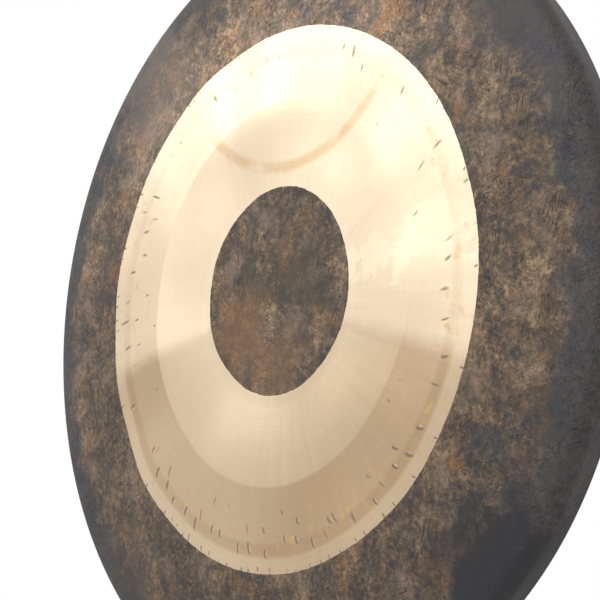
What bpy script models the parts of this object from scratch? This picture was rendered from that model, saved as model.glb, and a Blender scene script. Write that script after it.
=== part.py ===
"""Tam-tam: one hammered bronze disc with a turned-back rim, hung by two bushed cord holes.

Units are metres and +Z is up. The struck face looks along -Y and the hollow back is open along +Y.
The origin lies midway between the two cord holes, where the instrument hangs.

The disc is worked out about its own axis first: radius from that axis, and depth behind the face,
which is 0 at the outer edge of the polished ring and grows towards the back.
"""

import math

import bmesh
import bpy
from mathutils import Matrix, Vector

# The disc
DISC_DIAMETER = 1.0
METAL_THICKNESS = 0.0028
SHOULDER_RADIUS = 0.018
RIM_LEAN = math.radians(8.0)
RIM_WALL = 0.027
LIP_CHAMFER = 0.0006

# The beaten face: a flat centre, a shallow dish out to a crest, and a band that falls away to the shoulder
CENTRE_RADIUS = 0.131
CENTRE_DEPTH = 0.005
CREST_RADIUS = 0.237
CREST_HEIGHT = 0.0015
RING_RADIUS = 0.338
SHOULDER_DROP = 0.0125
SHOULDER_SLOPE = math.tan(math.radians(9.0))
BEND_HALF_WIDTH = 0.010

# Hammer work left in the metal: long ripples that cross the face every way, and beats round the rim wall
FACE_WAVE = 0.0005
FACE_WAVE_LENGTH = 0.105
FACE_WAVE_STEP = 0.017
FACE_WAVE_DIRECTIONS = 7
FACE_WAVE_TURN = 2.4
FACE_WAVE_PHASE = 1.7
RIM_WAVE = 0.0006
RIM_WAVE_COUNT = 19
QUIET_LENGTH = 0.045

# The cord holes and the bushes in them
HOLE_SPACING = 0.220
HOLE_FROM_LIP = 0.0145
GROMMET_BORE = 0.009
GROMMET_SLEEVE = 0.00145
GROMMET_FLANGE_OVERLAP = 0.00325
GROMMET_FLANGE_THICKNESS = 0.0018
GROMMET_ROUNDING = 0.0008
SEAT_GAP = 0.0003

# How far a cord hole's drill reaches through the wall
CUTTER_LENGTH = 0.028

# How finely round shapes are cut
FACETS_WANTED = 96
CENTRE_STEPS = 3
DISH_STEPS = 3
RING_STEPS = 3
BAND_STEPS = 4
SHOULDER_STEPS = 5
WALL_STEPS = 2
ROUND_STEPS = 28
FILLET_STEPS = 2

# Colours
BRONZE_PATINA = (0.205, 0.145, 0.105, 1.0)
BLACK_RUBBER = (0.022, 0.021, 0.020, 1.0)


def clear_scene():
    """Removes what a new file starts with."""
    for old in list(bpy.data.objects):
        bpy.data.objects.remove(old, do_unlink=True)


def new_material(name, colour, metallic, roughness):
    """A plain Principled material."""
    material = bpy.data.materials.new(name)
    material.use_nodes = True
    shader = material.node_tree.nodes["Principled BSDF"]
    shader.inputs["Base Color"].default_value = colour
    shader.inputs["Metallic"].default_value = metallic
    shader.inputs["Roughness"].default_value = roughness
    material.diffuse_color = colour
    return material


def new_object(name, bm, material=None):
    """Turns a bmesh into a named object, shaded smooth up to its sharp edges."""
    mesh = bpy.data.meshes.new(name)
    bm.to_mesh(mesh)
    bm.free()
    mesh.shade_smooth()
    mesh.set_sharp_from_angle(angle=math.radians(30.0))
    if material:
        mesh.materials.append(material)
    item = bpy.data.objects.new(name, mesh)
    bpy.context.scene.collection.objects.link(item)
    return item


def turned(profile, steps, axis, across):
    """Turns a profile of (radius, along) points about an axis. A point at radius 0 becomes a pole."""
    bm = bmesh.new()
    line = [bm.verts.new(across * radius + axis * along) for radius, along in profile]
    edges = [bm.edges.new(pair) for pair in zip(line, line[1:])]
    if profile[0][0] > 0.0:
        edges.append(bm.edges.new((line[-1], line[0])))
    bmesh.ops.spin(bm, geom=line + edges, cent=(0.0, 0.0, 0.0), axis=axis, angle=2.0 * math.pi,
                   steps=steps, use_merge=True)
    bmesh.ops.remove_doubles(bm, verts=bm.verts, dist=1e-6)
    bmesh.ops.recalc_face_normals(bm, faces=bm.faces)
    return bm


def smooth_step(value):
    """Rises from 0 to 1 as value goes from 0 to 1, and is flat outside."""
    value = min(max(value, 0.0), 1.0)
    return value * value * (3.0 - 2.0 * value)


def steps_between(first, last, count):
    """count evenly spaced values from just after first to last."""
    return [first + (last - first) * (index + 1) / count for index in range(count)]


def shoulder_start():
    """The radius where the face stops and the shoulder's round begins."""
    angle = math.atan(SHOULDER_SLOPE)
    return DISC_DIAMETER / 2.0 - SHOULDER_RADIUS * (1.0 - math.sin(angle))


def face_stations():
    """(radius, depth, slope) where one stretch of the face's profile meets the next."""
    dish_slope = -(CENTRE_DEPTH + CREST_HEIGHT) / (CREST_RADIUS - CENTRE_RADIUS)
    ring_slope = CREST_HEIGHT / (RING_RADIUS - CREST_RADIUS)
    half = BEND_HALF_WIDTH
    return [
        (0.0, CENTRE_DEPTH, 0.0),
        (CENTRE_RADIUS - half, CENTRE_DEPTH, 0.0),
        (CENTRE_RADIUS + half, CENTRE_DEPTH + dish_slope * half, dish_slope),
        (CREST_RADIUS - half, -CREST_HEIGHT - dish_slope * half, dish_slope),
        (CREST_RADIUS + half, -CREST_HEIGHT + ring_slope * half, ring_slope),
        (RING_RADIUS, 0.0, ring_slope),
        (shoulder_start(), SHOULDER_DROP, SHOULDER_SLOPE),
    ]


def face_at(radius):
    """(depth, slope) of the beaten face at a radius, from a cubic between the stations around it."""
    stations = face_stations()
    for (r0, d0, s0), (r1, d1, s1) in zip(stations, stations[1:]):
        if radius <= r1 + 1e-9:
            break
    span = r1 - r0
    t = (radius - r0) / span
    depth = (
        (2 * t**3 - 3 * t**2 + 1) * d0
        + (t**3 - 2 * t**2 + t) * span * s0
        + (3 * t**2 - 2 * t**3) * d1
        + (t**3 - t**2) * span * s1
    )
    slope = (6 * t**2 - 6 * t) * (d0 - d1) / span + (3 * t**2 - 4 * t + 1) * s0 + (3 * t**2 - 2 * t) * s1
    return depth, slope


def face_radii():
    """The radii at which the face is cut into rings, from just outside the middle to the shoulder."""
    half = BEND_HALF_WIDTH
    return (
        steps_between(0.0, CENTRE_RADIUS - half, CENTRE_STEPS)
        + steps_between(CENTRE_RADIUS - half, CENTRE_RADIUS + half, 2)
        + steps_between(CENTRE_RADIUS + half, CREST_RADIUS - half, DISH_STEPS)
        + steps_between(CREST_RADIUS - half, CREST_RADIUS + half, 3)
        + steps_between(CREST_RADIUS + half, RING_RADIUS, RING_STEPS)
        + steps_between(RING_RADIUS, shoulder_start(), BAND_STEPS)
    )


def shoulder_centre():
    """(radius, depth) of the middle of the shoulder's round."""
    angle = math.atan(SHOULDER_SLOPE)
    return (
        shoulder_start() - SHOULDER_RADIUS * math.sin(angle),
        SHOULDER_DROP + SHOULDER_RADIUS * math.cos(angle),
    )


def wall_start():
    """(radius, depth) of the outer edge where the shoulder's round runs into the straight rim wall."""
    centre_radius, centre_depth = shoulder_centre()
    return (
        centre_radius + SHOULDER_RADIUS * math.cos(RIM_LEAN),
        centre_depth + SHOULDER_RADIUS * math.sin(RIM_LEAN),
    )


def lip_depth():
    """The depth of the rim's back edge."""
    return wall_start()[1] + RIM_WALL


def wall_radius(depth):
    """The rim wall's outer radius at a depth. The wall leans in towards the back."""
    top_radius, top_depth = wall_start()
    return top_radius - (depth - top_depth) * math.tan(RIM_LEAN)


def side_of_sheet(inward):
    """One surface of the bent sheet, from the middle out to the lip, set in from the outer one by inward."""
    points = [(0.0, face_at(0.0)[0] + inward)]
    for radius in face_radii():
        depth, slope = face_at(radius)
        angle = math.atan(slope)
        points.append((radius - inward * math.sin(angle), depth + inward * math.cos(angle)))
    centre_radius, centre_depth = shoulder_centre()
    bend = SHOULDER_RADIUS - inward
    start = math.atan(SHOULDER_SLOPE)
    for angle in steps_between(start, math.pi / 2.0 + RIM_LEAN, SHOULDER_STEPS):
        points.append((centre_radius + bend * math.sin(angle), centre_depth - bend * math.cos(angle)))
    step_in = inward / math.cos(RIM_LEAN)
    for depth in steps_between(points[-1][1], lip_depth() - LIP_CHAMFER, WALL_STEPS):
        points.append((wall_radius(depth) - step_in, depth))
    towards_middle = -1.0 if inward == 0.0 else 1.0
    points.append((wall_radius(lip_depth()) - step_in + towards_middle * LIP_CHAMFER, lip_depth()))
    return points


def sheet_profile():
    """The closed section of the disc: the struck side out to the lip, then the hollow side back in."""
    return side_of_sheet(0.0) + side_of_sheet(METAL_THICKNESS)[::-1]


def hole_depth():
    """The depth of the middle of a cord hole."""
    return lip_depth() - HOLE_FROM_LIP


def hole_radius():
    """The radius of a cord hole, which clears the grommet's sleeve all round."""
    return GROMMET_BORE / 2.0 + GROMMET_SLEEVE + SEAT_GAP


def hole_angle(facets):
    """The angle from the top of the disc to a cord hole, on a wall of that many flats."""
    return math.asin(HOLE_SPACING / 2.0 / (middle_of_wall() * math.cos(math.pi / facets)))


def middle_of_wall():
    """The radius of the middle of the rim wall at the cord holes' depth."""
    return wall_radius(hole_depth()) - METAL_THICKNESS / 2.0 / math.cos(RIM_LEAN)


def facet_count():
    """The number of flats round the disc: even, and such that each cord hole is in the middle of one."""
    angle = hole_angle(FACETS_WANTED)
    flats_to_hole = round(FACETS_WANTED * angle / (2.0 * math.pi) - 0.5) + 0.5
    return 2 * round(flats_to_hole * math.pi / angle)


def hole_frame(side):
    """The middle of a cord hole and the outward direction of its flat, about the disc's own axis."""
    facets = facet_count()
    angle = hole_angle(facets)
    flat = (math.floor(angle * facets / (2.0 * math.pi)) + 0.5) * 2.0 * math.pi / facets
    reach = middle_of_wall() * math.cos(math.pi / facets) / math.cos(angle - flat)
    middle = Vector((side * reach * math.sin(angle), hole_depth(), reach * math.cos(angle)))
    level = Vector((side * math.sin(flat), 0.0, math.cos(flat)))
    outward = level * math.cos(RIM_LEAN) + Vector((0.0, 1.0, 0.0)) * math.sin(RIM_LEAN)
    return middle, outward.normalized()


def disc_origin():
    """Where the disc's own axis crosses the face's zero depth, in the frame that hangs from the holes."""
    middle, _ = hole_frame(1.0)
    return Vector((0.0, -middle.y, -middle.z))


def face_wave(across, up):
    """How far the hammer has pushed the face back at a place. It dies away towards the shoulder."""
    ripple = 0.0
    for index in range(FACE_WAVE_DIRECTIONS):
        turn = FACE_WAVE_TURN * index
        along = across * math.cos(turn) + up * math.sin(turn)
        length = FACE_WAVE_LENGTH + FACE_WAVE_STEP * index
        ripple += math.sin(2.0 * math.pi * along / length + FACE_WAVE_PHASE * index)
    fade_out = smooth_step((shoulder_start() - math.hypot(across, up)) / QUIET_LENGTH)
    return FACE_WAVE * ripple * fade_out


def rim_wave(depth, angle):
    """How far the rim wall stands in at a place. It stays true at the shoulder, the lip and the cord holes."""
    centre_depth = shoulder_centre()[1]
    along = (depth - centre_depth) / (lip_depth() - centre_depth)
    if not 0.0 < along < 1.0:
        return 0.0
    off_hole = (abs(angle) - hole_angle(FACETS_WANTED)) * DISC_DIAMETER / 2.0
    quiet = smooth_step(abs(off_hole) / QUIET_LENGTH - 1.0)
    return RIM_WAVE * math.sin(math.pi * along) * quiet * math.sin(RIM_WAVE_COUNT * angle)


def beat_sheet(bm):
    """Moves both sides of the sheet alike by the hammer's ripple."""
    for vert in bm.verts:
        radius = math.hypot(vert.co.x, vert.co.z)
        angle = math.atan2(vert.co.x, vert.co.z)
        in_by = rim_wave(vert.co.y, angle)
        vert.co.y += face_wave(vert.co.x, vert.co.z)
        if radius > 0.0:
            vert.co.x *= 1.0 - in_by / radius
            vert.co.z *= 1.0 - in_by / radius


def hole_cutter(name, side):
    """A wire cylinder that drills one cord hole through the rim wall."""
    bm = bmesh.new()
    bmesh.ops.create_cone(bm, cap_ends=True, segments=ROUND_STEPS, radius1=hole_radius(),
                          radius2=hole_radius(), depth=CUTTER_LENGTH)
    cutter = new_object(name, bm)
    cutter.display_type = "WIRE"
    cutter.hide_render = True
    place_in_hole(cutter, side)
    return cutter


def place_in_hole(item, side):
    """Puts an object's Z axis along one cord hole, with its origin in the middle of the wall."""
    middle, outward = hole_frame(side)
    turn = outward.to_track_quat("Z", "Y").to_matrix().to_4x4()
    item.matrix_world = Matrix.Translation(disc_origin() + middle) @ turn


def build_disc(material):
    """The bronze disc: the turned sheet, beaten by hand, with the two cord holes drilled through its rim."""
    bm = turned(sheet_profile(), facet_count(), axis=Vector((0.0, 1.0, 0.0)), across=Vector((0.0, 0.0, 1.0)))
    beat_sheet(bm)
    disc = new_object("gong_disc", bm, material)
    disc.location = disc_origin()
    for name, side in (("left_hole_cutter", -1.0), ("right_hole_cutter", 1.0)):
        drill = disc.modifiers.new(name, "BOOLEAN")
        drill.operation = "DIFFERENCE"
        drill.solver = "EXACT"
        drill.object = hole_cutter(name, side)
    return disc


def fillet(centre_radius, centre_along, start, end):
    """Points round one edge of the grommet, on an arc from start to end in degrees."""
    angles = [start] + steps_between(start, end, FILLET_STEPS)
    return [
        (
            centre_radius + GROMMET_ROUNDING * math.cos(math.radians(angle)),
            centre_along + GROMMET_ROUNDING * math.sin(math.radians(angle)),
        )
        for angle in angles
    ]


def grommet_profile():
    """The closed section of a grommet: a sleeve through the wall with a rounded flange on each side."""
    groove_radius = hole_radius() - SEAT_GAP
    groove_half = METAL_THICKNESS / 2.0 + SEAT_GAP
    end = groove_half + GROMMET_FLANGE_THICKNESS
    rounding = GROMMET_ROUNDING
    bore = GROMMET_BORE / 2.0
    flange = hole_radius() + GROMMET_FLANGE_OVERLAP
    return (
        fillet(bore + rounding, end - rounding, 180.0, 90.0)
        + fillet(flange - rounding, end - rounding, 90.0, 0.0)
        + [(flange, groove_half), (groove_radius, groove_half), (groove_radius, -groove_half), (flange, -groove_half)]
        + fillet(flange - rounding, rounding - end, 0.0, -90.0)
        + fillet(bore + rounding, rounding - end, -90.0, -180.0)
    )


def build_grommet(name, side, material):
    """A rubber grommet seated in one cord hole, so that the cord doesn't rub on the bronze."""
    bm = turned(grommet_profile(), ROUND_STEPS, axis=Vector((0.0, 0.0, 1.0)), across=Vector((1.0, 0.0, 0.0)))
    grommet = new_object(name, bm, material)
    place_in_hole(grommet, side)
    return grommet


def main():
    """Builds the disc and its two grommets."""
    clear_scene()
    bronze = new_material("bronze", BRONZE_PATINA, 1.0, 0.45)
    rubber = new_material("rubber", BLACK_RUBBER, 0.0, 0.6)
    build_disc(bronze)
    build_grommet("left_cord_grommet", -1.0, rubber)
    build_grommet("right_cord_grommet", 1.0, rubber)


main()
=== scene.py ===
"""Looks of a hammered bronze tam-tam: its disc, its two cord grommets, and a plain studio round it.

The disc is worked out about its own axis: across is +X, up is +Z, and depth grows towards +Y, from
0 at the outer edge of the polished ring. Lengths are metres, as in the frame.
"""

from __future__ import annotations

import logging
import math
from dataclasses import dataclass, field
from enum import Enum
from typing import Callable, ClassVar, Union

import bpy
import numpy as np
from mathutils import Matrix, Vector

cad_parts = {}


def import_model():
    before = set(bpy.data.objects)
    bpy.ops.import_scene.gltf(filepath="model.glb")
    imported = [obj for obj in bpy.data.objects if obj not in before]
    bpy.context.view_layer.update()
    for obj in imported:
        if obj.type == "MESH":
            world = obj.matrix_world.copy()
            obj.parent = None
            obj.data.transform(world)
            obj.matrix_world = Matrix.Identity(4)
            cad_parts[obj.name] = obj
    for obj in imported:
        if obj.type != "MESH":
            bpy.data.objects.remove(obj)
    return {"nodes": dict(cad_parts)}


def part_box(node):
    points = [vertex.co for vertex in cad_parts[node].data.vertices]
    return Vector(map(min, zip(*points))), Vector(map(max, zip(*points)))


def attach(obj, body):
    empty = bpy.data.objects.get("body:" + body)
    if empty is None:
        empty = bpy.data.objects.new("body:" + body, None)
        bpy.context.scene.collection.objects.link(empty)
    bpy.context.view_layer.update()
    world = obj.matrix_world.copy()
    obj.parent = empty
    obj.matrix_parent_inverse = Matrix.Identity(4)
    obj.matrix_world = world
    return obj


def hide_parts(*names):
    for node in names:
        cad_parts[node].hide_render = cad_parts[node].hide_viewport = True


LOG = logging.getLogger("tam_tam")
FULL_TURN = 2.0 * math.pi

Colour = tuple[float, float, float]
Place = tuple[float, float, float]


class Field:
    """A number that varies over the metal. Sums on it read the same for shader nodes and for arrays."""

    def work(self, operation: str, *others: "Number") -> "Field":
        """Applies one operation to this number and others.

        Args:
            operation: the name of a Math node's operation.
            others: the other operands, in order.

        Returns:
            The result, of the same kind as this field.
        """
        raise NotImplementedError

    def __add__(self, other: "Number") -> "Field":
        """Adds."""
        return self.work("ADD", other)

    __radd__ = __add__

    def __sub__(self, other: "Number") -> "Field":
        """Takes other away."""
        return self.work("SUBTRACT", other)

    def __rsub__(self, other: "Number") -> "Field":
        """Takes this away from other."""
        return self.work("MULTIPLY", -1.0).work("ADD", other)

    def __mul__(self, other: "Number") -> "Field":
        """Multiplies."""
        return self.work("MULTIPLY", other)

    __rmul__ = __mul__

    def __truediv__(self, other: "Number") -> "Field":
        """Divides by other."""
        return self.work("DIVIDE", other)

    def __pow__(self, power: "Number") -> "Field":
        """Raises to a power."""
        return self.work("POWER", power)

    def floor(self) -> "Field":
        """The whole number below."""
        return self.work("FLOOR")

    def fraction(self) -> "Field":
        """What is left above the whole number below."""
        return self.work("FRACT")

    def sine(self) -> "Field":
        """The sine of an angle in radians."""
        return self.work("SINE")

    def root(self) -> "Field":
        """The square root."""
        return self.work("SQRT")

    def size(self) -> "Field":
        """The number without its sign."""
        return self.work("ABSOLUTE")

    def angle_from(self, other: "Field") -> "Field":
        """The angle of the direction with this as its opposite side and other as its near side."""
        return self.work("ARCTAN2", other)

    def over(self, limit: "Number") -> "Field":
        """1 where it is greater than limit, or else 0."""
        return self.work("GREATER_THAN", limit)

    def under(self, limit: "Number") -> "Field":
        """1 where it is less than limit, or else 0."""
        return self.work("LESS_THAN", limit)

    def at_least(self, low: "Number") -> "Field":
        """Raises what is below low to low."""
        return self.work("MAXIMUM", low)

    def at_most(self, high: "Number") -> "Field":
        """Lowers what is above high to high."""
        return self.work("MINIMUM", high)

    def rise(self, low: float, high: float) -> "Field":
        """A smooth step.

        Args:
            low: where the step leaves 0.
            high: where it reaches 1. A high below low gives a fall.

        Returns:
            0 to 1.
        """
        part = ((self - low) / (high - low)).at_least(0.0).at_most(1.0)
        return part * part * (3.0 - 2.0 * part)


Number = Union[Field, float]


class Samples(Field):
    """A field held as an array, with one number for each point of a mesh."""

    SUMS: ClassVar[dict[str, Callable]] = {
        "ADD": np.add,
        "SUBTRACT": np.subtract,
        "MULTIPLY": np.multiply,
        "DIVIDE": np.divide,
        "POWER": np.power,
        "FLOOR": np.floor,
        "FRACT": lambda values: values - np.floor(values),
        "SINE": np.sin,
        "SQRT": np.sqrt,
        "ABSOLUTE": np.abs,
        "ARCTAN2": np.arctan2,
        "GREATER_THAN": lambda values, limit: (values > limit).astype(float),
        "LESS_THAN": lambda values, limit: (values < limit).astype(float),
        "MAXIMUM": np.maximum,
        "MINIMUM": np.minimum,
    }

    def __init__(self, values: np.ndarray) -> None:
        """Wraps an array.

        Args:
            values: one number for each point.
        """
        self.values = values

    def work(self, operation: str, *others: Number) -> "Samples":
        """Applies one operation to the arrays.

        Args:
            operation: a key of SUMS.
            others: fields held as arrays, or plain numbers.

        Returns:
            A new field.
        """
        plain = [other.values if isinstance(other, Samples) else other for other in others]
        return Samples(self.SUMS[operation](self.values, *plain))


class Wire(Field):
    """A field that is an output socket. Sums on it add Math nodes to the finish's tree."""

    def __init__(self, finish: "Finish", socket: bpy.types.NodeSocket) -> None:
        """Wraps a socket.

        Args:
            finish: the finish whose tree the socket is in.
            socket: an output socket.
        """
        self.finish = finish
        self.socket = socket

    def work(self, operation: str, *others: Number) -> "Wire":
        """Adds a Math node.

        Args:
            operation: the node's operation.
            others: wires or plain numbers.

        Returns:
            The node's output.
        """
        return self.finish.node("Math", {"operation": operation}, {0: self, **dict(enumerate(others, 1))})


class Noise(Enum):
    """How a noise pattern is laid over the metal."""

    SOLID = "3D"
    LINE = "1D"


class Finish:
    """A material and its shader tree, to which nodes are added one by one."""

    def __init__(self, name: str) -> None:
        """Starts an empty material.

        Args:
            name: the material's name.
        """
        self.material = bpy.data.materials.new(name)
        self.material.use_nodes = True
        self.tree = self.material.node_tree
        self.tree.nodes.clear()

    def node(self, kind: str, settings: dict | None = None, inputs: dict | None = None, output: int = 0) -> Wire:
        """Adds one shader node, sets it, and fills its sockets.

        Args:
            kind: the node's type, without ShaderNode in front.
            settings: the node's own properties. The key stops sets a ramp's stops, as (place, colour) pairs.
            inputs: values or wires for its sockets, by name or number.
            output: the number of the output socket that is wanted.

        Returns:
            That output.
        """
        node = self.tree.nodes.new("ShaderNode" + kind)
        for name, value in (settings or {}).items():
            if name == "stops":
                while len(node.color_ramp.elements) < len(value):
                    node.color_ramp.elements.new(1.0)
                for element, (place, colour) in zip(node.color_ramp.elements, value):
                    element.position = place
                    element.color = (*colour, 1.0)
            else:
                setattr(node, name, value)
        for name, value in (inputs or {}).items():
            if isinstance(value, Wire):
                self.tree.links.new(value.socket, node.inputs[name])
            else:
                node.inputs[name].default_value = value
        return Wire(self, node.outputs[output]) if node.outputs else None

    def noise(self, where: Wire, scale: float, detail: float = 3.0, rough: float = 0.55,
              kind: Noise = Noise.SOLID, twist: float = 0.0) -> Wire:
        """A noise pattern.

        Args:
            where: the place that it is read at, a vector, or a number for a noise along a line.
            scale: how many lumps fit in a metre.
            detail: how many finer layers it has.
            rough: how strong the finer layers are.
            kind: whether it fills space or runs along a line.
            twist: how far it is distorted.

        Returns:
            A number that is mostly between 0.3 and 0.7.
        """
        socket = "Vector" if kind is Noise.SOLID else "W"
        inputs = {socket: where, "Scale": scale, "Detail": detail, "Roughness": rough, "Distortion": twist}
        return self.node("TexNoise", {"noise_dimensions": kind.value}, inputs)

    def blend(self, share: Number, first: "Wire | Colour", second: "Wire | Colour", how: str = "MIX") -> Wire:
        """Mixes two colours.

        Args:
            share: how much of the second shows, from 0 to 1.
            first: the colour below.
            second: the colour above.
            how: the Mix node's blend type.

        Returns:
            The mixed colour.
        """
        colours = [value if isinstance(value, Wire) else (*value, 1.0) for value in (first, second)]
        inputs = {"Factor": share, 6: colours[0], 7: colours[1]}
        return self.node("Mix", {"data_type": "RGBA", "blend_type": how}, inputs, output=2)

    def grey(self, value: Wire) -> Wire:
        """A number as a grey colour."""
        return self.node("CombineColor", None, {"Red": value, "Green": value, "Blue": value})

    def place_about(self, centre: Place) -> Wire:
        """The place on the piece, counted from a centre in its own coordinates."""
        coordinates = self.node("TexCoord", None, None, output=3)
        shift = tuple(-value for value in centre)
        return self.node("Mapping", None, {"Vector": coordinates, "Location": shift})

    def parts(self, vector: Wire) -> tuple[Wire, Wire, Wire]:
        """A vector's three numbers."""
        first = self.node("SeparateXYZ", None, {"Vector": vector})
        outputs = first.socket.node.outputs
        return first, Wire(self, outputs[1]), Wire(self, outputs[2])

    def vector(self, x: Number, y: Number, z: Number) -> Wire:
        """A vector of three numbers."""
        return self.node("CombineXYZ", None, {"X": x, "Y": y, "Z": z})

    def bump(self, height: Wire) -> Wire:
        """A surface normal from a height in millimetres."""
        return self.node("Bump", None, {"Height": height, "Strength": 1.0, "Distance": 0.001})

    def surface(self, inputs: dict) -> bpy.types.Material:
        """Ends the tree with a Principled shader.

        Args:
            inputs: values or wires for the shader's sockets.

        Returns:
            The finished material.
        """
        shader = self.node("BsdfPrincipled", None, inputs)
        self.node("OutputMaterial", None, {"Surface": shader})
        return self.material


@dataclass(frozen=True)
class DiscShape:
    """The disc's section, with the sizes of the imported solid."""

    diameter: float = 1.0
    thickness: float = 0.0028
    shoulder_radius: float = 0.018
    rim_lean: float = math.radians(8.0)
    rim_wall: float = 0.027
    lip_chamfer: float = 0.0006
    centre_radius: float = 0.131
    centre_depth: float = 0.005
    crest_radius: float = 0.237
    crest_height: float = 0.0015
    ring_radius: float = 0.338
    shoulder_drop: float = 0.0125
    shoulder_slope: float = math.tan(math.radians(9.0))
    bend_half_width: float = 0.010
    hole_spacing: float = 0.220
    hole_from_lip: float = 0.0145
    hole_radius: float = 0.00625
    quiet_length: float = 0.045

    @property
    def shoulder_angle(self) -> float:
        """The angle of the face where the shoulder's round begins."""
        return math.atan(self.shoulder_slope)

    @property
    def shoulder_start(self) -> float:
        """The radius where the shoulder's round begins."""
        return self.diameter / 2.0 - self.shoulder_radius * (1.0 - math.sin(self.shoulder_angle))

    @property
    def shoulder_centre(self) -> tuple[float, float]:
        """(radius, depth) of the middle of the shoulder's round."""
        return (
            self.shoulder_start - self.shoulder_radius * math.sin(self.shoulder_angle),
            self.shoulder_drop + self.shoulder_radius * math.cos(self.shoulder_angle),
        )

    @property
    def wall_start(self) -> tuple[float, float]:
        """(radius, depth) where the shoulder runs into the rim wall."""
        radius, depth = self.shoulder_centre
        return (
            radius + self.shoulder_radius * math.cos(self.rim_lean),
            depth + self.shoulder_radius * math.sin(self.rim_lean),
        )

    @property
    def lip_depth(self) -> float:
        """The depth of the rim's back edge."""
        return self.wall_start[1] + self.rim_wall

    @property
    def hole_depth(self) -> float:
        """The depth of the middle of a cord hole."""
        return self.lip_depth - self.hole_from_lip

    def wall_radius(self, depth: float) -> float:
        """The rim wall's outer radius at a depth."""
        radius, start = self.wall_start
        return radius - (depth - start) * math.tan(self.rim_lean)

    def face_at(self, radius: float) -> tuple[float, float]:
        """(depth, slope) of the struck face.

        Args:
            radius: the distance from the axis, up to the shoulder.

        Returns:
            The depth, and how fast it grows with the radius.
        """
        dish = -(self.centre_depth + self.crest_height) / (self.crest_radius - self.centre_radius)
        fall = self.crest_height / (self.ring_radius - self.crest_radius)
        half = self.bend_half_width
        stations = [
            (0.0, self.centre_depth, 0.0),
            (self.centre_radius - half, self.centre_depth, 0.0),
            (self.centre_radius + half, self.centre_depth + dish * half, dish),
            (self.crest_radius - half, -self.crest_height - dish * half, dish),
            (self.crest_radius + half, -self.crest_height + fall * half, fall),
            (self.ring_radius, 0.0, fall),
            (self.shoulder_start, self.shoulder_drop, self.shoulder_slope),
        ]
        for (r0, d0, s0), (r1, d1, s1) in zip(stations, stations[1:]):
            if radius <= r1 + 1e-9:
                break
        span = r1 - r0
        t = (radius - r0) / span
        depth = (
            (2 * t**3 - 3 * t**2 + 1) * d0
            + (t**3 - 2 * t**2 + t) * span * s0
            + (3 * t**2 - 2 * t**3) * d1
            + (t**3 - t**2) * span * s1
        )
        slope = (6 * t**2 - 6 * t) * (d0 - d1) / span + (3 * t**2 - 4 * t + 1) * s0 + (3 * t**2 - 2 * t) * s1
        return depth, slope

    def side(self, inward: float, radii: list[float], bends: int, walls: int) -> list[tuple[float, float]]:
        """One surface of the sheet, as (radius, depth) points from the middle out to the lip.

        Args:
            inward: how far it is set in from the struck surface.
            radii: where the face is cut, from just outside the middle.
            bends: how many cuts the shoulder's round has.
            walls: how many cuts the rim wall has.

        Returns:
            The points in order.
        """
        points = [(0.0, self.face_at(0.0)[0] + inward)]
        for radius in radii:
            depth, slope = self.face_at(radius)
            angle = math.atan(slope)
            points.append((radius - inward * math.sin(angle), depth + inward * math.cos(angle)))
        radius, depth = self.shoulder_centre
        round_radius = self.shoulder_radius - inward
        for angle in evenly(self.shoulder_angle, math.pi / 2.0 + self.rim_lean, bends):
            points.append((radius + round_radius * math.sin(angle), depth - round_radius * math.cos(angle)))
        step_in = inward / math.cos(self.rim_lean)
        for depth in evenly(points[-1][1], self.lip_depth - self.lip_chamfer, walls):
            points.append((self.wall_radius(depth) - step_in, depth))
        towards_middle = 1.0 if inward else -1.0
        lip = self.wall_radius(self.lip_depth) - step_in + towards_middle * self.lip_chamfer
        points.append((lip, self.lip_depth))
        return points


def evenly(first: float, last: float, count: int) -> list[float]:
    """Even steps.

    Args:
        first: the start, which is left out.
        last: the end, which is included.
        count: how many.

    Returns:
        The values in order.
    """
    return [first + (last - first) * (index + 1) / count for index in range(count)]


def lot(index: Field, seed: float) -> Field:
    """A number between 0 and 1 drawn for a whole number, the same in shader nodes and in arrays."""
    return (index * index * (0.618034 + 0.1713 * seed) + index * (0.414214 + 0.2361 * seed) + seed).fraction()


@dataclass(frozen=True)
class MarkRow:
    """One row of hammer marks round the ring. Lengths and widths are half of the whole."""

    count: int
    radius: float
    scatter: float
    length: float
    width: float
    share: float
    seed: float
    strength: float = 1.0


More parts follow.
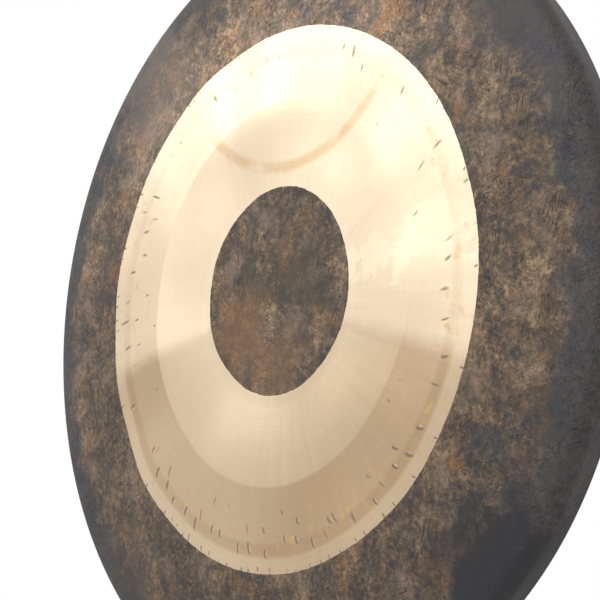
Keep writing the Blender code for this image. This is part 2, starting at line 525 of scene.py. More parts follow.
@dataclass(frozen=True)
class HammerWork:
    """What the hammer left in the metal: long ripples, and the peen's slanting marks round the ring."""

    shape: DiscShape = DiscShape()
    wave: float = 0.0005
    wave_length: float = 0.105
    wave_step: float = 0.017
    wave_directions: int = 7
    wave_turn: float = 2.4
    wave_phase: float = 1.7
    rim_wave: float = 0.0006
    rim_wave_count: int = 19
    mark_depth: float = 0.00022
    slant: float = 0.20
    slant_spread: float = 0.35
    rows: tuple[MarkRow, ...] = (
        MarkRow(count=70, radius=0.305, scatter=0.010, length=0.0095, width=0.0033, share=1.15, seed=0.31),
        MarkRow(count=58, radius=0.286, scatter=0.012, length=0.0085, width=0.0027, share=0.60, seed=1.17,
                strength=0.8),
        MarkRow(count=50, radius=0.264, scatter=0.014, length=0.0070, width=0.0024, share=0.34, seed=2.53,
                strength=0.6),
        MarkRow(count=130, radius=0.3345, scatter=0.003, length=0.0050, width=0.0022, share=0.75, seed=3.71,
                strength=0.75),
    )

    def ripple(self, across: Field, up: Field) -> Field:
        """How far the long ripples push the face back, in metres."""
        total: Number = 0.0
        for index in range(self.wave_directions):
            turn = self.wave_turn * index
            along = across * math.cos(turn) + up * math.sin(turn)
            length = self.wave_length + self.wave_step * index
            total = (along * (FULL_TURN / length) + self.wave_phase * index).sine() + total
        radius = (across * across + up * up).root()
        start = self.shape.shoulder_start
        return total * self.wave * radius.rise(start, start - self.shape.quiet_length)

    def marks(self, across: Field, up: Field) -> tuple[Field, Field]:
        """The peen's marks round the ring.

        Args:
            across: the place across the disc, from the ring's middle.
            up: the place up the disc, from the ring's middle.

        Returns:
            The depth, from 0 beside the marks to 1 in the middle of a deep one, and the same depth with the sign
            of the flank that it lies on.
        """
        radius = (across * across + up * up).root().at_least(0.01)
        angle = across.angle_from(up)
        lower = (1.0 - up / radius) * 0.5
        left = (1.0 - across / radius) * 0.5
        plenty = 0.26 + 0.50 * lower * lower + 0.14 * left
        total: Number = 0.0
        flanks: Number = 0.0
        for row in self.rows:
            turn = angle * (row.count / FULL_TURN)
            cell = turn.floor()
            aside = turn - cell - 0.5 - (lot(cell, row.seed) - 0.5) * 0.5
            away = radius - row.radius - (lot(cell, row.seed + 0.21) - 0.5) * (2.0 * row.scatter)
            slant = self.slant + self.slant_spread * (lot(cell, row.seed + 0.43) - 0.3)
            aside = aside * radius * (FULL_TURN / row.count) + away * slant
            length = row.length * (0.6 + 0.6 * lot(cell, row.seed + 0.67))
            width = row.width * (0.65 + 0.6 * lot(cell, row.seed + 0.79))
            aside = aside / width
            away = away / length
            body = (1.0 - aside * aside - away * away).at_least(0.0)
            struck = (plenty * row.share - lot(cell, row.seed + 0.89)).over(0.0)
            weight = (0.35 + 0.65 * lot(cell, row.seed + 0.97)) * row.strength * (0.55 + 0.45 * lower)
            body = body * struck * weight
            flanks = body * aside + flanks
            total = body.at_least(total)
        return total, flanks


@dataclass(frozen=True)
class Stain:
    """A soft round patch of another colour."""

    across: float
    up: float
    reach: float
    colour: Colour
    share: float
    core: float = 0.35

    def weight(self, across: Field, up: Field, ragged: Field) -> Field:
        """How much of the stain lies here.

        Args:
            across: the place across the disc.
            up: the place up the disc.
            ragged: a number about 0 that frays the edge.

        Returns:
            0 to the stain's share.
        """
        aside = across - self.across
        above = up - self.up
        away = (aside * aside + above * above).root() / self.reach + ragged
        return away.rise(1.0, self.core) * self.share


@dataclass(frozen=True)
class PaintedReflectionSector:
    """A sector of painted reflection on the turned metal, a lighter or darker wedge, from its middle angle, in degrees
    clockwise from the top.
    """

    middle: float
    half: float
    soft: float
    dish: float
    flat: float

    def tan(self, across: Field, up: Field, radius: Field, flat: Field) -> Field:
        """How much painted shade the sector lays on the metal, towards tan.

        Args:
            across: the place across the disc.
            up: the place up the disc.
            radius: the distance from the middle.
            flat: 1 outside the crest and 0 in the dish.

        Returns:
            The share of painted shade, below 0 where it lays a painted highlight instead.
        """
        turn = math.radians(self.middle)
        facing = (across * math.sin(turn) + up * math.cos(turn)) / radius
        inside = math.cos(math.radians(max(self.half - self.soft, 0.0)))
        weight = facing.rise(math.cos(math.radians(min(self.half + self.soft, 180.0))), inside)
        return weight * (self.dish + flat * (self.flat - self.dish))


@dataclass(frozen=True)
class Patina:
    """The dark skin of the unpolished bronze: brown, slate and olive patches under fine speckle and wrinkles."""

    soot: Colour = (0.016, 0.015, 0.016)
    slate: Colour = (0.050, 0.050, 0.056)
    umber: Colour = (0.095, 0.068, 0.048)
    clay: Colour = (0.175, 0.118, 0.076)
    straw: Colour = (0.360, 0.255, 0.155)
    rust: Colour = (0.235, 0.120, 0.052)
    olive: Colour = (0.085, 0.080, 0.052)
    rose: Colour = (0.265, 0.185, 0.140)
    speckle: float = 0.85

    def colour(self, finish: Finish, place: Wire, edge: Number, painted_top_light: Number) -> tuple[Wire, Wire]:
        """The patina's colour and height.

        Args:
            finish: the finish that it is drawn in.
            place: the place on the piece.
            edge: how much of the dark shoulder strip lies here, from 0 to 1.
            painted_top_light: how much painted light lightens the skin here, 1 for no change.

        Returns:
            The colour, and the height in millimetres.
        """
        broad = finish.noise(place, 13.0, 4.0, 0.62)
        cloud = finish.noise(place, 46.0, 5.0, 0.68)
        mottle = finish.noise(place, 150.0, 4.0, 0.75)
        speck = finish.noise(place, 520.0, 3.0, 0.8)
        level = broad * 0.60 + cloud * 0.62 - 0.11 + (mottle - 0.5) * 0.55
        stops = ((0.34, self.slate), (0.45, self.umber), (0.56, self.clay), (0.74, self.straw))
        skin = finish.node("ValToRGB", {"stops": stops}, {"Fac": level})
        for offset, scale, colour, share in ((2.3, 17.0, self.rust, 0.75), (5.9, 21.0, self.olive, 0.65),
                                             (9.1, 26.0, self.slate, 0.70), (12.7, 19.0, self.rose, 0.55)):
            moved = finish.node("Mapping", None, {"Vector": place, "Location": (offset, -offset, offset)})
            patch = finish.noise(moved, scale, 5.0, 0.66).rise(0.52, 0.68)
            skin = finish.blend(patch * share, skin, colour)
        skin = finish.blend(edge * 0.85, skin, self.slate)
        smooth = finish.noise(place, 24.0, 2.0).rise(0.34, 0.52)
        dots = 1.0 + ((speck - 0.5) * 3.4 + (mottle - 0.5) * 1.6) * (self.speckle * (0.35 + 0.65 * smooth))
        # tone multiplies in the painted light towards the top of the band.
        skin = finish.blend(1.0, skin, finish.grey(dots.at_least(0.12) * painted_top_light), "MULTIPLY")
        worn = speck.rise(0.60, 0.72) * mottle.rise(0.50, 0.66) * smooth * (1.0 - edge * 0.6)
        skin = finish.blend(worn * 0.7, skin, self.straw)
        lines = self.wrinkles(finish, place)
        skin = finish.blend(lines * 0.85, skin, self.soot)
        height = mottle * 0.12 + speck * 0.08 + cloud * 0.12 - lines * 0.10
        return skin, height

    def wrinkles(self, finish: Finish, place: Wire) -> Wire:
        """Thin black lines that gather in patches, from 0 to 1."""
        total: Number = 0.0
        for index, (turn, long, short) in enumerate(((0.25, 30.0, 260.0), (1.35, 26.0, 230.0), (2.45, 34.0, 280.0))):
            moved = finish.node("Mapping", None, {
                "Vector": place, "Location": (index * 1.9, index * 0.7, index * 3.1), "Rotation": (0.0, turn, 0.0)})
            patch = finish.noise(moved, 15.0, 3.0, 0.6).rise(0.53, 0.62)
            drawn = finish.node("Mapping", None, {"Vector": moved, "Scale": (long, 60.0, short)})
            ridge = (finish.noise(drawn, 1.0, 2.0, 0.5, twist=0.5) - 0.5).size().rise(0.030, 0.006)
            total = (ridge * patch).at_least(total)
        fine = finish.noise(place, 75.0, 4.0, 0.6, twist=1.4)
        crack = (fine - 0.5).size().rise(0.010, 0.002) * finish.noise(place, 33.0, 2.0).rise(0.50, 0.60)
        return total.at_least(crack * 0.8)


@dataclass(frozen=True)
class Polish:
    """The ground and polished ring, with lathe lines, stains, and painted reflection and painted shade in light and
    dark wedges.
    """

    # cream and tan are lit and shaded copies of the polished bronze; painted reflection and painted shade blend
    # between them.
    lit_bronze: Colour = (0.955, 0.800, 0.596)
    tan: Colour = (0.461, 0.327, 0.200)
    amber: Colour = (0.620, 0.400, 0.175)
    blush: Colour = (0.600, 0.380, 0.250)
    dent: Colour = (0.215, 0.165, 0.125)
    cream_share: float = -0.25
    tan_share: float = 1.05
    line_pitch: float = 0.0033
    crest_lift: float = 0.0095
    crest_radius: float = 0.2385
    arc_centre: tuple[float, float] = (0.035, 0.371)
    arc_radius: float = 0.211
    arc_half_width: float = 0.011
    painted_reflection_sectors: tuple[PaintedReflectionSector, ...] = (
        # Painted reflection: the wedge at 184 is painted shade over the lower half, and shares below 0 paint
        # highlights, as at 84.
        PaintedReflectionSector(middle=184.0, half=75.0, soft=3.5, dish=0.40, flat=0.62),
        PaintedReflectionSector(middle=142.0, half=30.0, soft=28.0, dish=0.24, flat=0.30),
        PaintedReflectionSector(middle=200.0, half=30.0, soft=30.0, dish=0.02, flat=0.12),
        PaintedReflectionSector(middle=84.0, half=6.5, soft=1.2, dish=-0.20, flat=-0.05),
        PaintedReflectionSector(middle=338.0, half=24.0, soft=20.0, dish=0.14, flat=-0.20),
        PaintedReflectionSector(middle=268.0, half=20.0, soft=18.0, dish=0.03, flat=0.28),
    )

    def painted_reflection_fan(self, finish: Finish, place: Wire, across: Wire, up: Wire, radius: Wire) -> Wire:
        """How far painted shade takes the metal towards tan, from below 0 where a painted highlight lightens it, to
        about 1.
        """
        from_crest = up + (FaceFinish.ring_shift[1] - self.crest_lift)
        flat = (across * across + from_crest * from_crest).root().rise(self.crest_radius - 0.0015,
                                                                      self.crest_radius + 0.0015)
        wander = (finish.noise(place, 26.0, 3.0) - 0.5) * 0.010
        total: Number = 0.03
        for sector in self.painted_reflection_sectors:
            total = sector.tan(across + wander, up + wander, radius, flat) + total
        # shade is the painted shade of the lower half; below, it deepens outwards in the dish and gives way to a
        # painted highlight at the outer edge.
        shade = self.painted_reflection_sectors[0].tan(across, up, radius, flat)
        total = total + shade * (radius - 0.185).at_most(0.05) * (1.0 - flat) * 6.0
        total = total - shade * radius.rise(0.315, 0.322) * 0.35
        # A darker turned band near the ring's edge, the metal's own colour.
        return total + radius.rise(0.298, 0.307) * radius.rise(0.321, 0.313) * 0.13

    def colour(self, finish: Finish, place: Wire, across: Wire, up: Wire, radius: Wire,
               marks: tuple[Wire, Wire]) -> tuple[Wire, Wire]:
        """The ring's colour and height.

        Args:
            finish: the finish that it is drawn in.
            place: the place on the piece.
            across: the place across the disc, from the ring's middle.
            up: the place up the disc, from the ring's middle.
            radius: the distance from the ring's middle.
            marks: the hammer marks' depth and flanks.

        Returns:
            The colour, and the height in millimetres.
        """
        body, flank = marks
        # The ring's colour runs from cream to tan by painted reflection and painted shade.
        share = (self.painted_reflection_fan(finish, place, across, up, radius) - self.cream_share) / (self.tan_share - self.cream_share)
        metal = finish.blend(share, self.lit_bronze, self.tan)
        drift = finish.noise(place, 16.0, 4.0, 0.6)
        cloud = finish.noise(place, 60.0, 4.0, 0.6)
        lower = (1.0 - up / radius) * 0.5
        zone = radius.rise(0.280, 0.296) * radius.rise(0.330, 0.318)
        metal = finish.blend(cloud.rise(0.54, 0.70) * zone * (0.25 + 0.65 * lower), metal, self.amber)
        blushed = finish.noise(finish.node("Mapping", None, {"Vector": place, "Location": (4.0, 2.0, 1.0)}), 38.0, 3.0)
        metal = finish.blend(blushed.rise(0.55, 0.75) * radius.rise(0.235, 0.270) * lower * 0.5, metal, self.blush)
        metal = finish.blend(self.arc(across, up) * drift.rise(0.30, 0.55) * 0.55, metal, self.amber)
        metal = finish.blend(1.0, metal, finish.grey(self.sheen(finish, place, across, up, radius)), "MULTIPLY")
        # Each mark darkens towards the dent colour, partly its own colour and partly painted shade, which is kept off
        # the flank that gets a painted highlight in the lit bronze colour.
        dark = (body.rise(0.0, 0.5) - (flank * -1.0).at_least(0.0) * 1.6).at_least(0.0)
        metal = finish.blend(dark * 0.85, metal, self.dent)
        painted_highlight = (flank * -1.0).rise(0.08, 0.30)
        metal = finish.blend(painted_highlight * 0.45, metal, self.lit_bronze)
        height = cloud * 0.10 + drift * 0.6
        return metal, height

    def sheen(self, finish: Finish, place: Wire, across: Wire, up: Wire, radius: Wire) -> Wire:
        """The fine light and dark lines of the lathe and the brush, and radial streaks of painted reflection, stronger
        towards the right, about 1.
        """
        turned = finish.noise(radius, 110.0, 5.0, 0.75, kind=Noise.LINE)
        scored = finish.noise(radius + 3.0, 420.0, 1.0, 0.5, kind=Noise.LINE)
        groove = (radius * (FULL_TURN / self.line_pitch)).sine()
        patch = finish.noise(place, 11.0, 2.0).rise(0.40, 0.60)
        dish = radius.rise(0.236, 0.218)
        lines = groove * (0.012 + 0.022 * patch) * (0.35 + 0.65 * dish) + (turned - 0.5) * 0.10
        lines = lines + (scored - 0.5) * 0.09 * patch
        ray = finish.vector(across / radius * 14.0, up / radius * 14.0, radius * 7.0)
        painted_reflection_streak = finish.noise(ray, 1.0, 5.0, 0.7)
        fine_ray = finish.vector(across / radius * 70.0, up / radius * 70.0, radius * 22.0)
        painted_reflection_hairline = finish.noise(fine_ray, 1.0, 3.0, 0.7)
        # The radial streaks are painted reflection, painted stronger on the right where the metal catches more light.
        right = (across / radius + 1.0) * 0.5
        return 1.0 + lines + (painted_reflection_streak - 0.5) * (0.06 + 0.16 * right) + (painted_reflection_hairline - 0.5) * (0.04 + 0.07 * right)

    def arc(self, across: Wire, up: Wire) -> Wire:
        """An arc of darker gold above the middle, from 0 to 1."""
        aside = across - self.arc_centre[0]
        above = up - self.arc_centre[1]
        off = ((aside * aside + above * above).root() - self.arc_radius).size()
        return off.rise(self.arc_half_width, 0.002) * above.rise(-0.132, -0.168)


@dataclass(frozen=True)
class FaceFinish:
    """The struck side: patina with a ring polished through it."""

    shape: DiscShape
    hammer: HammerWork
    ring_shift: ClassVar[tuple[float, float]] = (0.0012, 0.0051)
    centre_shift: tuple[float, float] = (0.0012, 0.0121)
    ring_edge: float = 0.3374
    centre_edge: float = 0.1303
    edge_soft: float = 0.0003
    patina: Patina = Patina()
    polish: Polish = Polish()
    skin_stains: tuple[Stain, ...] = (
        Stain(0.048, 0.020, 0.070, (0.052, 0.050, 0.036), 0.62),
        Stain(-0.062, -0.030, 0.075, (0.240, 0.130, 0.062), 0.55),
        Stain(0.002, -0.078, 0.060, (0.235, 0.135, 0.070), 0.50),
        Stain(-0.004, -0.010, 0.009, (0.340, 0.270, 0.120), 0.75),
        Stain(0.345, -0.330, 0.120, (0.026, 0.026, 0.030), 0.88),
        Stain(0.395, 0.275, 0.090, (0.060, 0.056, 0.056), 0.70),
        Stain(-0.310, -0.330, 0.080, (0.060, 0.052, 0.048), 0.60),
        Stain(-0.260, 0.330, 0.130, (0.220, 0.175, 0.145), 0.45),
    )
    dot: Stain = Stain(-0.242, -0.001, 0.0022, (0.060, 0.040, 0.028), 0.9)

    def painted_top_light(self, across: Wire, up: Wire, radius: Wire) -> Wire:
        """Painted light: how much lighter the skin is painted towards the top of the band than at the bottom."""
        top = ((up - across * 0.1) / radius.at_least(0.05)).rise(0.45, 0.88)
        band = radius.rise(0.30, 0.33) * radius.rise(0.455, 0.36)
        return 1.0 + top * band * 0.85

    def material(self, centre: Place) -> bpy.types.Material:
        """Makes the material.

        Args:
            centre: the disc's middle.

        Returns:
            The material.
        """
        finish = Finish("hammered_bronze_face")
        place = finish.place_about(centre)
        from_middle, _, height_up = finish.parts(place)
        across = from_middle - self.ring_shift[0]
        up = height_up - self.ring_shift[1]
        up_centre = height_up - self.centre_shift[1]
        radius = (across * across + up * up).root().at_least(0.01)
        radius_centre = (across * across + up_centre * up_centre).root()
        radius_disc = (from_middle * from_middle + height_up * height_up).root()
        ragged = (finish.noise(place, 90.0, 4.0, 0.7) - 0.5) * 0.0032
        marks = self.hammer.marks(across, up)
        inside = (radius_centre + ragged).rise(self.centre_edge - self.edge_soft, self.centre_edge + self.edge_soft)
        outside = (radius + ragged).rise(self.ring_edge + self.edge_soft, self.ring_edge - self.edge_soft)
        ring = inside * outside
        strip = (finish.noise(place, 14.0, 5.0, 0.62) - 0.5) * 0.11
        edge = (radius_disc + strip).rise(0.438, 0.466)
        skin, skin_height = self.patina.colour(finish, place, edge, self.painted_top_light(from_middle, height_up, radius_disc))
        fray = (finish.noise(place, 40.0, 5.0, 0.7) - 0.5) * 1.8
        for stain in self.skin_stains:
            skin = finish.blend(stain.weight(from_middle, height_up, fray), skin, stain.colour)
        metal, metal_height = self.polish.colour(finish, place, across, up, radius, marks)
        metal = finish.blend(self.dot.weight(from_middle, height_up, fray * 0.2), metal, self.dot.colour)
        worn = ring * (1.0 - marks[0].rise(0.15, 0.6) * 0.6)
        return finish.surface({
            "Base Color": finish.blend(ring, skin, metal),
            "Metallic": 0.40 + ring * 0.60,
            "Roughness": 0.58 - worn * 0.18,
            "Normal": finish.bump(skin_height * (1.0 - ring) + metal_height * ring),
        })


@dataclass(frozen=True)
class BackFinish:
    """The hollow side: patina all over."""

    patina: Patina = Patina()

    def material(self, centre: Place) -> bpy.types.Material:
        """Makes the material.

        Args:
            centre: the disc's middle.

        Returns:
            The material.
        """
        finish = Finish("hammered_bronze_back")
        place = finish.place_about(centre)
        skin, height = self.patina.colour(finish, place, 0.25, 1.0)
        beaten = finish.noise(place, 30.0, 1.0)
        return finish.surface({
            "Base Color": skin,
            "Metallic": 0.40,
            "Roughness": 0.52 + finish.noise(place, 60.0, 2.0) * 0.12,
            "Normal": finish.bump(height + beaten * 0.8),
        })


@dataclass(frozen=True)
class RubberFinish:
    """Matt black rubber with a little dust."""

    black: Colour = (0.020, 0.019, 0.018)
    dust: Colour = (0.085, 0.080, 0.074)

    def material(self, centre: Place) -> bpy.types.Material:
        """Makes the material.

        Args:
            centre: the grommet's middle.

        Returns:
            The material.
        """
        finish = Finish("grommet_rubber")
        place = finish.place_about(centre)
        dusting = finish.noise(place, 380.0, 4.0, 0.7)
        grain = finish.noise(place, 2400.0, 2.0)
        return finish.surface({
            "Base Color": finish.blend(dusting.rise(0.5, 0.8) * 0.5, self.black, self.dust),
            "Roughness": 0.55 + dusting * 0.2,
            "Normal": finish.bump(grain * 0.012),
        })


def only(piece: bpy.types.Object) -> None:
    """Makes a piece the one selected and active object."""
    bpy.ops.object.select_all(action="DESELECT")
    piece.select_set(True)
    bpy.context.view_layer.objects.active = piece


def revolve(name: str, profile: list[tuple[float, float]], axis: Place, across: Place,
            steps: int) -> bpy.types.Object:
    """Draws a profile by extruding one vertex along it, and spins it round an axis.

    Args:
        name: the new piece's name.
        profile: (radius, along) points. A closed profile ends at its first point's neighbour.
        axis: the direction of the axis through the origin.
        across: the direction in which the radius is counted.
        steps: how many steps a full turn has.

    Returns:
        The piece, with its faces pointing out.
    """
    def at(point: tuple[float, float]) -> Vector:
        """The place of a profile point."""
        return Vector(across) * point[0] + Vector(axis) * point[1]

    bpy.ops.object.select_all(action="DESELECT")
    bpy.ops.mesh.primitive_plane_add(size=0.001, location=at(profile[0]))
    piece = bpy.context.active_object
    piece.name = name
    bpy.ops.object.mode_set(mode="EDIT")
    bpy.ops.mesh.select_all(action="SELECT")
    bpy.ops.mesh.merge(type="CENTER")
    for before, after in zip(profile, profile[1:]):
        bpy.ops.mesh.extrude_region_move(TRANSFORM_OT_translate={"value": at(after) - at(before)})
    bpy.ops.mesh.select_all(action="SELECT")
    if profile[0][0] > 0.0:
        bpy.ops.object.mode_set(mode="OBJECT")
        for vertex in piece.data.vertices:
            vertex.select = vertex.index in (0, len(profile) - 1)
        bpy.ops.object.mode_set(mode="EDIT")
        bpy.ops.mesh.edge_face_add()
        bpy.ops.mesh.select_all(action="SELECT")
    bpy.ops.mesh.spin(steps=steps, angle=FULL_TURN, center=(0.0, 0.0, 0.0), axis=axis)
    bpy.ops.mesh.select_all(action="SELECT")
    bpy.ops.mesh.remove_doubles(threshold=1e-6)
    bpy.ops.mesh.normals_make_consistent(inside=False)
    bpy.ops.object.mode_set(mode="OBJECT")
    bpy.ops.object.transform_apply(location=True, rotation=True, scale=True)
    return piece


def press(piece: bpy.types.Object, amounts: np.ndarray, direction: str) -> None:
    """Moves a piece's points along one axis, each by its own amount, with Displace modifiers.

    Args:
        piece: the piece.
        amounts: how far each point moves, in metres.
        direction: X, Y or Z.
    """
    only(piece)
    for sign in (1.0, -1.0):
        pushed = np.maximum(amounts * sign, 0.0)
        most = float(pushed.max())
        if most <= 0.0:
            continue
        group = piece.vertex_groups.new(name="pressed")
        for index in np.flatnonzero(pushed):
            group.add([int(index)], float(pushed[index]) / most, "REPLACE")
        displace = piece.modifiers.new("pressed", "DISPLACE")
        displace.direction = direction
        displace.mid_level = 0.0
        displace.strength = sign * most
        displace.vertex_group = group.name
        bpy.ops.object.modifier_apply(modifier=displace.name)
        piece.vertex_groups.clear()


def points_of(piece: bpy.types.Object) -> np.ndarray:
    """A piece's points, one row for each."""
    flat = np.empty(len(piece.data.vertices) * 3)
    piece.data.vertices.foreach_get("co", flat)
    return flat.reshape(-1, 3)


@dataclass
class Disc:
    """The bronze disc."""

    centre: Place
    shape: DiscShape = field(default_factory=DiscShape)
    hammer: HammerWork = field(default_factory=HammerWork)
    name: str = "hammered_disc"
    segments: int = 1024
    hole_segments: int = 64

    def face_radii(self) -> list[float]:
        """Where the struck face is cut, close together where the hammer marks are."""
        shape = self.shape
        half = shape.bend_half_width
        return (
            evenly(0.0, shape.centre_radius - half, 5)
            + evenly(shape.centre_radius - half, shape.centre_radius + half, 3)
            + evenly(shape.centre_radius + half, shape.crest_radius - half, 6)
            + evenly(shape.crest_radius - half, shape.crest_radius + half, 5)
            + evenly(shape.crest_radius + half, shape.ring_radius + 0.006, 27)
            + evenly(shape.ring_radius + 0.006, shape.shoulder_start, 10)
        )

    def hollow_radii(self) -> list[float]:
        """Where the hollow side is cut."""
        shape = self.shape
        half = shape.bend_half_width
        return (
            evenly(0.0, shape.centre_radius - half, 3)
            + evenly(shape.centre_radius - half, shape.centre_radius + half, 2)
            + evenly(shape.centre_radius + half, shape.crest_radius - half, 3)
            + evenly(shape.crest_radius - half, shape.crest_radius + half, 2)
            + evenly(shape.crest_radius + half, shape.shoulder_start, 7)
        )

    def build(self) -> bpy.types.Object:
        """Models the disc.

        Returns:
            The piece, in its place.
        """
        struck = self.shape.side(0.0, self.face_radii(), bends=7, walls=3)
        hollow = self.shape.side(self.shape.thickness, self.hollow_radii(), bends=5, walls=2)
        piece = revolve(self.name, struck + hollow[::-1], (0.0, 1.0, 0.0), (0.0, 0.0, 1.0), self.segments)
        self.beat(piece)
        self.drill(piece)
        only(piece)
        piece.location = self.centre
        bpy.ops.object.transform_apply(location=True, rotation=True, scale=True)
        bpy.ops.object.shade_smooth_by_angle(angle=math.radians(30.0))
        return piece

    def beat(self, piece: bpy.types.Object) -> None:
        """Works the hammer's ripples and marks into the metal."""
        points = points_of(piece)
        across, depth, height = points[:, 0], points[:, 1], points[:, 2]
        ripple = self.hammer.ripple(Samples(across), Samples(height)).values
        shift = FaceFinish.ring_shift
        marks = self.hammer.marks(Samples(across - shift[0]), Samples(height - shift[1]))[0].values
        radius = np.hypot(across, height)
        face = np.array([self.shape.face_at(min(value, self.shape.shoulder_start))[0] for value in radius])
        struck = (depth - face < self.shape.thickness / 2.0) & (radius < self.shape.shoulder_start)
        press(piece, ripple + marks * struck * self.hammer.mark_depth, "Y")
        angle = np.arctan2(across, height)
        middle = self.shape.shoulder_centre[1]
        along = (depth - middle) / (self.shape.lip_depth - middle)
        hole = math.asin(self.shape.hole_spacing / 2.0 / self.wall_middle())
        off = np.abs(np.abs(angle) - hole) * self.shape.diameter / 2.0 / self.shape.quiet_length - 1.0
        quiet = Samples(off).rise(0.0, 1.0).values
        inward = np.sin(math.pi * np.clip(along, 0.0, 1.0)) * np.sin(self.hammer.rim_wave_count * angle) * quiet
        inward *= self.hammer.rim_wave * (along > 0.0)
        press(piece, -inward * np.sin(angle), "X")
        press(piece, -inward * np.cos(angle), "Z")

    def wall_middle(self) -> float:
        """The radius of the middle of the rim wall at the cord holes."""
        return self.shape.wall_radius(self.shape.hole_depth) - self.shape.thickness / 2.0 / math.cos(self.shape.rim_lean)

    def hole_place(self, side: float) -> tuple[Vector, Vector]:
        """Where a cord hole is, about the disc's own axis.

        Args:
            side: -1 for the left hole, 1 for the right one.

        Returns:
            Its middle, and its direction outwards.
        """
        reach = self.wall_middle()
        angle = side * math.asin(self.shape.hole_spacing / 2.0 / reach)
        middle = Vector((reach * math.sin(angle), self.shape.hole_depth, reach * math.cos(angle)))
        lean = self.shape.rim_lean
        outward = Vector((math.sin(angle) * math.cos(lean), math.sin(lean), math.cos(angle) * math.cos(lean)))
        return middle, outward

    def drill(self, piece: bpy.types.Object) -> None:
        """Drills the two cord holes through the rim wall."""
        drills = []
        for side in (-1.0, 1.0):
            middle, outward = self.hole_place(side)
            bpy.ops.object.select_all(action="DESELECT")
            bpy.ops.mesh.primitive_cylinder_add(
                vertices=self.hole_segments, radius=self.shape.hole_radius, depth=10.0 * self.shape.thickness,
                location=middle, rotation=outward.to_track_quat("Z", "Y").to_euler())
            drills.append(bpy.context.active_object)
        only(drills[0])
        drills[1].select_set(True)
        bpy.ops.object.join()
        drill = bpy.context.active_object
        only(piece)
        cut = piece.modifiers.new("cord_holes", "BOOLEAN")
        cut.operation = "DIFFERENCE"
        cut.solver = "EXACT"
        cut.object = drill
        bpy.ops.object.modifier_apply(modifier=cut.name)
        bpy.data.objects.remove(drill, do_unlink=True)

    def dress(self, piece: bpy.types.Object) -> None:
        """Gives the struck side and the hollow side their finishes."""
        piece.data.materials.clear()
        piece.data.materials.append(FaceFinish(self.shape, self.hammer).material(self.centre))
        piece.data.materials.append(BackFinish().material(self.centre))
        count = len(piece.data.polygons)
        centres = np.empty(count * 3)
        normals = np.empty(count * 3)
        piece.data.polygons.foreach_get("center", centres)
        piece.data.polygons.foreach_get("normal", normals)
        offset = centres.reshape(-1, 3) - np.array(self.centre)
        facing = normals.reshape(-1, 3)
        radius = np.hypot(offset[:, 0], offset[:, 2]).clip(1e-6)
        outward = (facing[:, 0] * offset[:, 0] + facing[:, 2] * offset[:, 2]) / radius
        back = (facing[:, 1] > 0.5) | ((outward < -0.3) & (offset[:, 1] > self.shape.shoulder_drop))
        piece.data.polygons.foreach_set("material_index", back.astype(np.int32))
        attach(piece, "root")
        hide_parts("gong_disc")


@dataclass
class Grommet:
    """A rubber grommet in a cord hole."""

    name: str
    node: str
    middle: Vector
    outward: Vector
    sleeve_radius: float
    wall: float
    bore: float = 0.009
    flange_overlap: float = 0.00325
    flange_thickness: float = 0.0018
    rounding: float = 0.0008
    gap: float = 0.0003
    segments: int = 72
    fillet_cuts: int = 6

    def fillet(self, radius: float, along: float, start: float, end: float) -> list[tuple[float, float]]:
        """Points round one edge.

        Args:
            radius: the arc's middle, counted from the axis.
            along: the arc's middle, counted along the axis.
            start: the first angle in degrees.
            end: the last angle in degrees.

        Returns:
            (radius, along) points.
        """
        angles = [math.radians(angle) for angle in [start] + evenly(start, end, self.fillet_cuts)]
        return [(radius + self.rounding * math.cos(a), along + self.rounding * math.sin(a)) for a in angles]

    def build(self) -> bpy.types.Object:
        """Models the grommet.

        Returns:
            The piece, in its place.
        """
        half = self.wall / 2.0 + self.gap
        end = half + self.flange_thickness
        flange = self.sleeve_radius + self.gap + self.flange_overlap
        inner = self.bore / 2.0 + self.rounding
        groove = self.sleeve_radius
        profile = (
            self.fillet(inner, end - self.rounding, 180.0, 90.0)
            + self.fillet(flange - self.rounding, end - self.rounding, 90.0, 0.0)
            + [(flange, half), (groove, half), (groove, -half), (flange, -half)]
            + self.fillet(flange - self.rounding, self.rounding - end, 0.0, -90.0)
            + self.fillet(inner, self.rounding - end, -90.0, -180.0)
        )
        piece = revolve(self.name, profile, (0.0, 0.0, 1.0), (1.0, 0.0, 0.0), self.segments)
        only(piece)
        piece.location = self.middle
        piece.rotation_euler = self.outward.to_track_quat("Z", "Y").to_euler()
        bpy.ops.object.transform_apply(location=True, rotation=True, scale=True)
        bpy.ops.object.shade_smooth_by_angle(angle=math.radians(40.0))
        return piece

    def dress(self, piece: bpy.types.Object) -> None:
        """Gives the grommet its rubber."""
        piece.data.materials.clear()
        piece.data.materials.append(RubberFinish().material(tuple(self.middle)))
        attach(piece, "root")
        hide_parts(self.node)


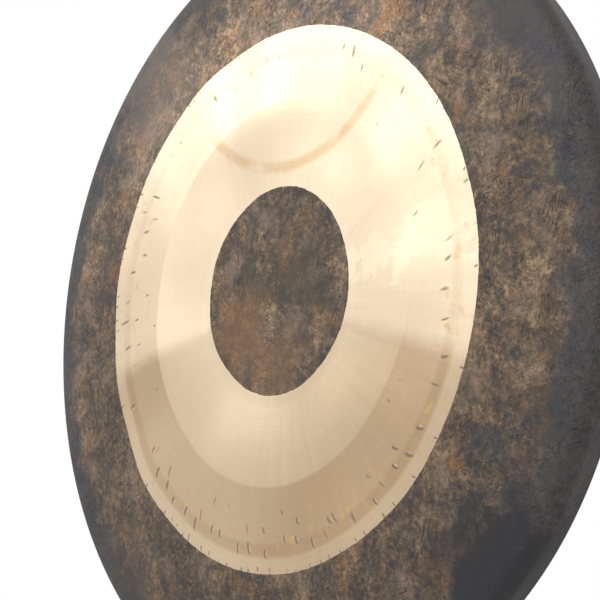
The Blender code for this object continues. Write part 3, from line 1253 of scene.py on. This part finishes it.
@dataclass(frozen=True)
class Studio:
    """A pale floor, a white surround, one large soft lamp and the camera."""

    centre: Place
    ring_radius: float = 0.338
    azimuth: float = math.radians(48.62)
    elevation: float = math.radians(-10.77)
    camera_reach: float = 5.6
    aim_across: float = 0.101
    aim_up: float = -0.0004
    focal_share: float = 0.9166
    sensor: float = 36.0
    floor_drop: float = 0.80
    floor_size: float = 40.0
    lamp_azimuth: float = math.radians(-28.0)
    lamp_elevation: float = math.radians(48.0)
    lamp_reach: float = 4.6
    lamp_size: float = 5.0
    lamp_power: float = 120.0
    surround: float = 0.72

    def camera(self) -> None:
        """Sets the camera where the photograph was taken."""
        turn, tilt = self.azimuth, self.elevation
        back = Vector((math.sin(turn) * math.cos(tilt), -math.cos(turn) * math.cos(tilt), math.sin(tilt)))
        right = Vector((math.cos(turn), math.sin(turn), 0.0))
        up = back.cross(right)
        target = Vector(self.centre) + (right * self.aim_across + up * self.aim_up) * self.ring_radius
        camera = bpy.data.cameras.new("camera")
        camera.sensor_width = self.sensor
        camera.lens = self.focal_share * self.camera_reach * self.sensor / 2.0
        holder = bpy.data.objects.new("camera", camera)
        bpy.context.scene.collection.objects.link(holder)
        holder.location = target + back * self.camera_reach * self.ring_radius
        holder.rotation_euler = back.to_track_quat("Z", "Y").to_euler()
        bpy.context.scene.camera = holder

    def lamp(self) -> None:
        """Hangs a large soft lamp above and in front of the disc."""
        light = bpy.data.lights.new("soft_lamp", "AREA")
        light.shape = "SQUARE"
        light.size = self.lamp_size
        light.energy = self.lamp_power
        holder = bpy.data.objects.new("soft_lamp", light)
        bpy.context.scene.collection.objects.link(holder)
        turn, tilt = self.lamp_azimuth, self.lamp_elevation
        away = Vector((math.sin(turn) * math.cos(tilt), -math.cos(turn) * math.cos(tilt), math.sin(tilt)))
        holder.location = Vector(self.centre) + away * self.lamp_reach
        holder.rotation_euler = away.to_track_quat("Z", "Y").to_euler()

    def floor(self) -> None:
        """Lays the pale floor."""
        bpy.ops.object.select_all(action="DESELECT")
        x, y, z = self.centre
        bpy.ops.mesh.primitive_plane_add(size=self.floor_size, location=(x, y, z - self.floor_drop))
        floor = bpy.context.active_object
        floor.name = "studio_floor"
        finish = Finish("studio_floor")
        matt = finish.node("BsdfDiffuse", None, {"Color": (0.78, 0.76, 0.73, 1.0)})
        glow = finish.node("Emission", None, {"Color": (1.0, 1.0, 1.0, 1.0), "Strength": 1.0})
        seen = self.seen_directly(finish)
        surface = finish.node("MixShader", None, {0: seen * 0.8, 1: matt, 2: glow})
        finish.node("OutputMaterial", None, {"Surface": surface})
        floor.data.materials.append(finish.material)

    def seen_directly(self, finish: Finish) -> Wire:
        """1 for rays from the camera, mirror-like rays and rays through glass, or else 0."""
        first = finish.node("LightPath")
        outputs = first.socket.node.outputs
        glossy = Wire(finish, outputs["Is Glossy Ray"])
        return first.at_least(glossy).at_least(Wire(finish, outputs["Is Transmission Ray"]))

    def surroundings(self) -> None:
        """Fills the world with white, a little dimmer as light than as background."""
        world = bpy.data.worlds.new("studio")
        world.use_nodes = True
        bpy.context.scene.world = world
        sky = Finish("unused_surround")
        bpy.data.materials.remove(sky.material)
        sky.tree = world.node_tree
        sky.tree.nodes.clear()
        strength = self.surround + self.seen_directly(sky) * (1.0 - self.surround)
        light = sky.node("Background", None, {"Color": (1.0, 1.0, 1.0, 1.0), "Strength": strength})
        sky.node("OutputWorld", None, {"Surface": light})

    def build(self) -> None:
        """Sets up the whole studio."""
        bpy.context.scene.view_settings.view_transform = "Standard"
        self.camera()
        self.lamp()
        self.floor()
        self.surroundings()


def main() -> None:
    """Loads the frame, models and dresses the pieces, and sets up the studio."""
    logging.basicConfig(level=logging.INFO)
    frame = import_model()
    LOG.info("frame loaded with nodes %s", sorted(frame["nodes"]))
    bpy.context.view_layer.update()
    shape = DiscShape()
    low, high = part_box("gong_disc")
    centre = (0.0, high[1] - shape.lip_depth, (low[2] + high[2]) / 2.0)

    disc = Disc(centre)
    piece = disc.build()
    disc.dress(piece)
    LOG.info("%s has %d triangles", piece.name, sum(len(face.vertices) - 2 for face in piece.data.polygons))
    for side, word in ((-1.0, "left"), (1.0, "right")):
        middle, outward = disc.hole_place(side)
        grommet = Grommet(
            name=f"{word}_rubber_grommet", node=f"{word}_cord_grommet", middle=middle + Vector(centre),
            outward=outward, sleeve_radius=shape.hole_radius - 0.0003, wall=shape.thickness)
        rubber = grommet.build()
        grommet.dress(rubber)
        LOG.info("%s stands in for %s", rubber.name, grommet.node)

    Studio(centre).build()


if __name__ == "__main__":
    main()
